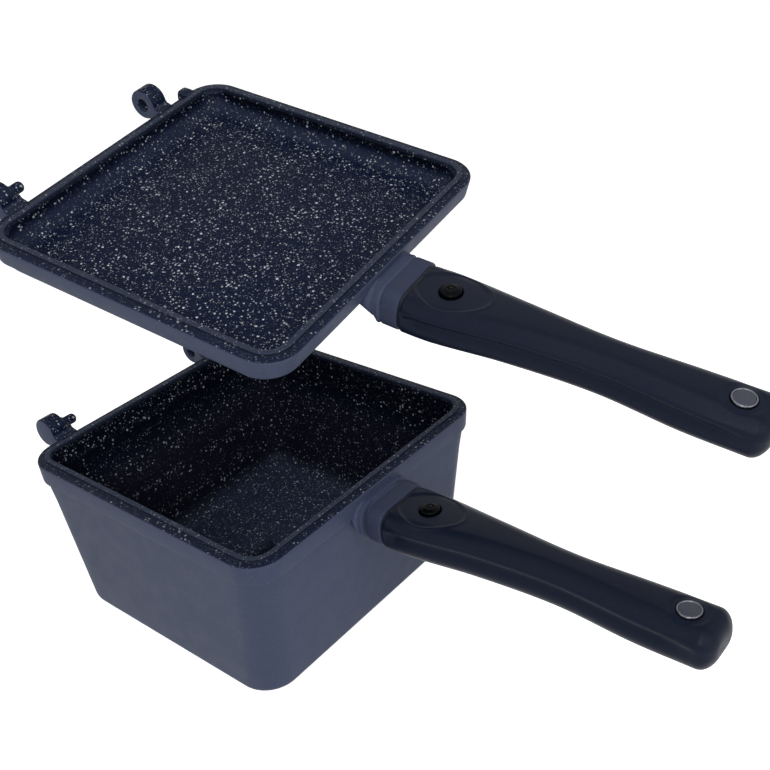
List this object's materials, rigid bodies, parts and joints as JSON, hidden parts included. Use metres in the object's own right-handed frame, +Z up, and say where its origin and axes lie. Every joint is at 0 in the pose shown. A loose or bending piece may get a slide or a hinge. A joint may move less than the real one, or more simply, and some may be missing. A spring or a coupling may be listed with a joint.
{
  "type": "double sided flip pan",
  "caption": "Square cast pot and shallow pan with non-stick insides that hook together by rim pins and eyes, each with a soft-touch handle and a closing magnet.",
  "frame": {"origin": "middle of the flat underside of the pot", "axes": "+X from the hinge line along the pot's handle, +Y along the hinge line towards the pot's eye, +Z up"},
  "size_m": [0.3939, 0.2021, 0.2746],
  "materials": {
    "cast_body": "cast, slate grey outside and dark speckled non-stick coating inside",
    "hinge_steel": "steel under the same dark coating",
    "painted_collar": "slate grey, semi-matt",
    "gasket_rubber": "black",
    "soft_grip": "black soft-touch",
    "black_screw": "black oxide, glossy",
    "plain_steel": "plain",
    "bright_steel": "polished rim",
    "nickel_plate": "satin nickel"
  },
  "bodies": {
    "pot": {"pot_body": "cast_body", "pot_hinge_pin": "hinge_steel", "pot_tang": "plain_steel", "pot_ferrule": "painted_collar", "pot_grip_gasket": "gasket_rubber", "pot_grip": "soft_grip", "pot_grip_screw": "black_screw", "pot_screw_washer": "plain_steel", "pot_screw_insert": "plain_steel", "pot_magnet_cup": "bright_steel", "pot_magnet": "nickel_plate"},
    "pan_pin": {"pan_hinge_pin": "hinge_steel"},
    "pan": {"pan_body": "cast_body", "pan_tang": "plain_steel", "pan_ferrule": "painted_collar", "pan_grip_gasket": "gasket_rubber", "pan_grip": "soft_grip", "pan_grip_screw": "black_screw", "pan_screw_washer": "plain_steel", "pan_screw_insert": "plain_steel", "pan_magnet_cup": "bright_steel", "pan_magnet": "nickel_plate"}
  },
  "joints": [
    {"name": "pan_lift", "type": "slide", "parent": "pot", "child": "pan_pin", "axis": [0, 0, 1], "range_m": [-0.04, 0.06]},
    {"name": "pan_flip", "type": "hinge", "parent": "pan_pin", "child": "pan", "pos_m": [-0.09318, -0.00425, 0.25652], "axis": [0.0865, -0.9813, -0.1721], "range_deg": [0, 180]}
  ]
}
